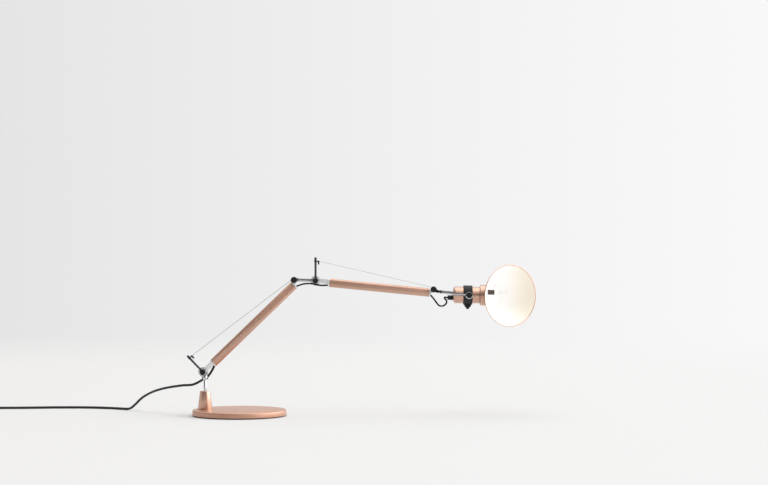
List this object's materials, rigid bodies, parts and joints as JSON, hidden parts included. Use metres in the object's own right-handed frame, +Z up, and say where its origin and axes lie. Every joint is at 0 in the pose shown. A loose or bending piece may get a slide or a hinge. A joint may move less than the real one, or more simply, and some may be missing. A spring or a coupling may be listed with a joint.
{
  "type": "desk lamp",
  "caption": "Balanced desk lamp with a round weighted base, two jointed tube arms, external balance cables and a head that tilts and turns.",
  "frame": {"origin": "centre of the round base, on the underside of its felt, on the surface it stands on", "axes": "+Z up, +X from the base towards the head, +Y away from the side that the shade faces"},
  "size_m": [1.0999, 0.2486, 0.2865],
  "materials": {
    "felt": "black felt",
    "weight": "bare steel plate",
    "base": "satin rose copper",
    "tube": "satin rose copper",
    "housing": "satin rose copper",
    "shade": "satin rose copper outside, white inside",
    "polished": "polished",
    "fitting": "satin",
    "blackened": "semi-gloss black",
    "steel": "satin",
    "plastic": "semi-matt black",
    "nylon": "natural",
    "cord": "black cord",
    "holder": "dark brown",
    "bulb": "clear"
  },
  "bodies": {
    "base": {"base_felt": "felt", "base_weight": "weight", "base_cover": "base", "post_cone": "base", "cone_screw": "steel", "swivel_bush": "nylon", "mains_cord": "cord", "mains_cord_coil": "cord", "mains_plug": "plastic"},
    "post": {"post_rod": "polished", "post_head": "polished", "shoulder_lever": "polished", "shoulder_lever_cap": "plastic", "shoulder_cable_block": "plastic", "cord_clip": "plastic"},
    "lower_arm": {"lower_tube": "tube", "lower_fork": "fitting", "lower_end_fitting": "fitting", "shoulder_bolt": "plastic", "shoulder_knob": "plastic", "shoulder_disc": "fitting", "lower_elbow_bolt": "plastic", "lower_elbow_knob": "plastic", "lower_spring": "steel", "lower_cable": "steel", "shoulder_cord": "cord", "elbow_cord_lower": "cord"},
    "lower_pulley": {"lower_pulley": "nylon"},
    "elbow": {"elbow_link": "polished", "elbow_lever": "polished", "elbow_lever_cap": "plastic", "elbow_cable_block": "plastic"},
    "upper_arm": {"upper_tube": "tube", "upper_fork": "fitting", "upper_end_fitting": "fitting", "upper_elbow_bolt": "plastic", "upper_elbow_knob": "plastic", "elbow_disc": "fitting", "wrist_bolt": "plastic", "wrist_knob": "plastic", "upper_spring": "steel", "upper_cable": "steel", "elbow_cord_upper": "cord"},
    "upper_pulley": {"upper_pulley": "nylon"},
    "fork": {"wrist_clevis": "blackened", "wrist_yoke": "polished", "tilt_knob_front": "plastic", "tilt_knob_rear": "plastic", "wrist_cord": "cord", "head_cord": "cord"},
    "head_back": {"head_ring": "plastic", "rear_housing": "housing", "cord_gland": "plastic"},
    "switch": {"switch_button": "plastic"},
    "head": {"front_housing": "housing", "shade_collar": "housing", "shade": "shade", "lampholder": "holder", "bulb": "bulb"}
  },
  "joints": [
    {"name": "base_swivel", "type": "hinge", "parent": "base", "child": "post", "pos_m": [-0.0623, 0, 0.04], "axis": [0, 0, 1], "range_deg": [-150, 150], "deforming": ["mains_cord"]},
    {"name": "shoulder", "type": "hinge", "parent": "post", "child": "lower_arm", "pos_m": [-0.0661, 0, 0.0791], "axis": [0, -1, 0], "range_deg": [-40, 55], "deforming": ["lower_cable", "lower_spring", "shoulder_cord"]},
    {"name": "lower_pulley_spin", "type": "hinge", "parent": "lower_arm", "child": "lower_pulley", "pos_m": [0.09885, 0, 0.24578], "axis": [0, 1, 0], "range_deg": [-480, 660]},
    {"name": "elbow_lower", "type": "hinge", "parent": "lower_arm", "child": "elbow", "pos_m": [0.09885, 0, 0.24578], "axis": [0, 1, 0], "range_deg": [-45, 45], "deforming": ["elbow_cord_lower"]},
    {"name": "elbow_upper", "type": "hinge", "parent": "elbow", "child": "upper_arm", "pos_m": [0.13762, 0, 0.2445], "axis": [0, 1, 0], "range_deg": [-55, 70], "deforming": ["upper_cable", "upper_spring", "elbow_cord_upper"]},
    {"name": "upper_pulley_spin", "type": "hinge", "parent": "upper_arm", "child": "upper_pulley", "pos_m": [0.35115, 0, 0.22882], "axis": [0, 1, 0], "range_deg": [-800, 640]},
    {"name": "wrist", "type": "hinge", "parent": "upper_arm", "child": "fork", "pos_m": [0.35115, 0, 0.22882], "axis": [0, -1, 0], "range_deg": [-60, 60], "deforming": ["wrist_cord"]},
    {"name": "head_tilt", "type": "hinge", "parent": "fork", "child": "head_back", "pos_m": [0.4149, 0, 0.21838], "axis": [0, -1, 0], "range_deg": [-80, 80], "deforming": ["head_cord"]},
    {"name": "head_roll", "type": "hinge", "parent": "head_back", "child": "head", "pos_m": [0.4149, 0, 0.21838], "axis": [0.9999, 0, -0.014], "range_deg": [-165, 165]},
    {"name": "switch_press", "type": "slide", "parent": "head_back", "child": "switch", "axis": [0.014, 0, 0.9999], "range_m": [0, 0.0015], "stiffness_N_per_m": 400}
  ],
  "couplings": [
    {"joint": "lower_pulley_spin", "follows": "shoulder", "ratio": 11.5},
    {"joint": "upper_pulley_spin", "follows": "elbow_upper", "ratio": -11.2}
  ]
}
